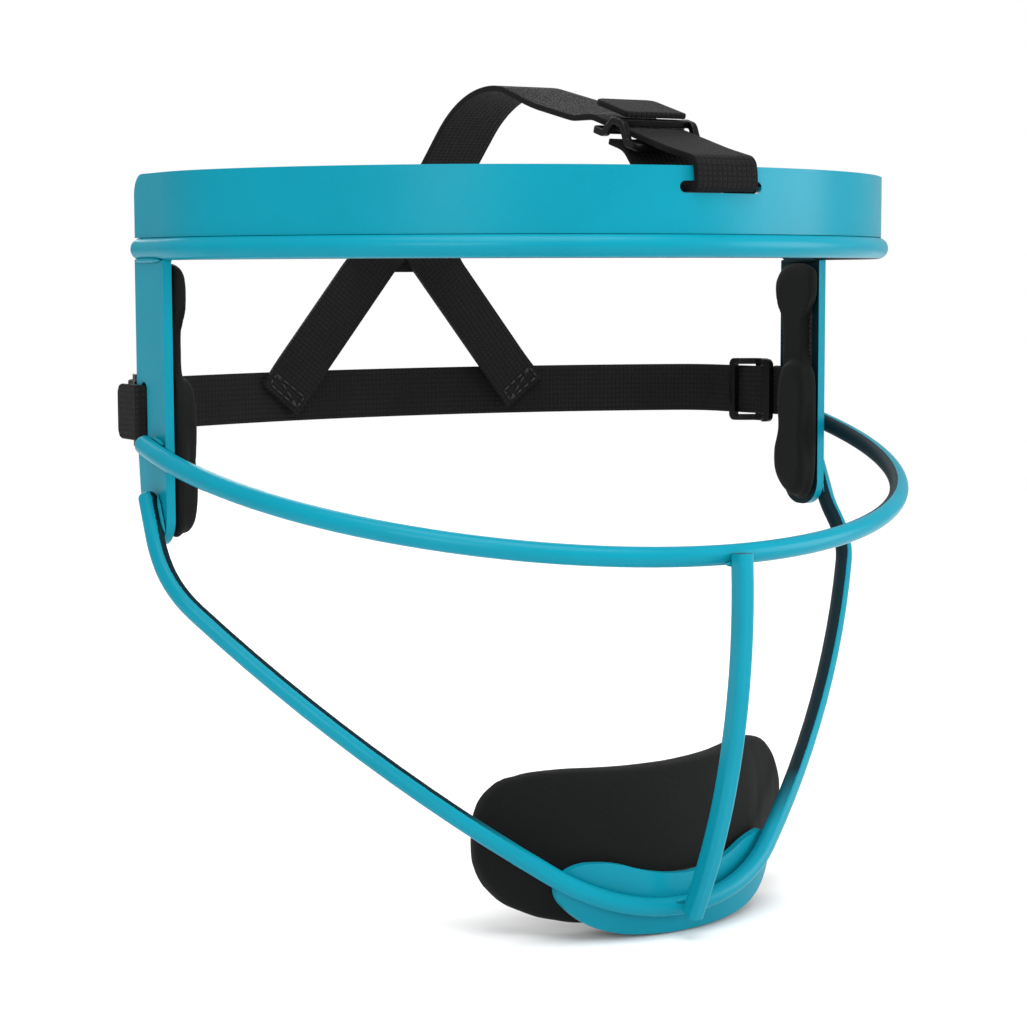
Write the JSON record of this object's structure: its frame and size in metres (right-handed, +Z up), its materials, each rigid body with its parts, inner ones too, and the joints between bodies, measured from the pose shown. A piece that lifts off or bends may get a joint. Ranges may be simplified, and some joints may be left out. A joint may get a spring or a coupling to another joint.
{
  "type": "softball face guard",
  "caption": "Welded steel fielding face guard: brow band on a rod, side plates, cheek and jaw wires, centre bar, chin cup, foam pads, webbing straps with slides and a ponytail opening.",
  "frame": {"origin": "on the symmetry plane, midway between the side plates, level with the brow rod's axis, where the rod's straight rear runs begin", "axes": "+Z up; the wearer looks along -Y; +X is the wearer's left"},
  "size_m": [0.1834, 0.1502, 0.1779],
  "materials": {
    "coated_steel": "gloss",
    "foam": "matte",
    "hook_tape": "matte",
    "webbing": "woven",
    "moulded_black": "satin"
  },
  "bodies": {
    "guard": {"brow_rod": "coated_steel", "forehead_band": "coated_steel", "side_plate_left": "coated_steel", "side_plate_right": "coated_steel", "cheek_wire": "coated_steel", "jaw_wire": "coated_steel", "centre_bar": "coated_steel", "chin_plate": "coated_steel", "chin_pad": "foam", "forehead_pad": "foam", "side_pad_left": "foam", "side_pad_right": "foam", "chin_hook_patch": "hook_tape", "forehead_hook_patch": "hook_tape", "side_hook_patch_left": "hook_tape", "side_hook_patch_right": "hook_tape", "back_strap": "webbing", "ponytail_strap_left": "webbing", "ponytail_strap_right": "webbing", "crown_strap": "webbing", "crown_tail": "webbing"},
    "slide_left": {"side_slide_left": "moulded_black"},
    "slide_right": {"side_slide_right": "moulded_black"},
    "slide_crown": {"crown_slide": "moulded_black"}
  },
  "joints": [
    {"name": "side_slide_left_travel", "type": "slide", "parent": "guard", "child": "slide_left", "axis": [-0.1736, 0.9848, 0], "range_m": [0, 0.006]},
    {"name": "side_slide_right_travel", "type": "slide", "parent": "guard", "child": "slide_right", "axis": [0.1736, 0.9848, 0], "range_m": [0, 0.006]},
    {"name": "crown_slide_travel", "type": "slide", "parent": "guard", "child": "slide_crown", "axis": [0, 0.9617, 0.274], "range_m": [0, 0.01]}
  ]
}
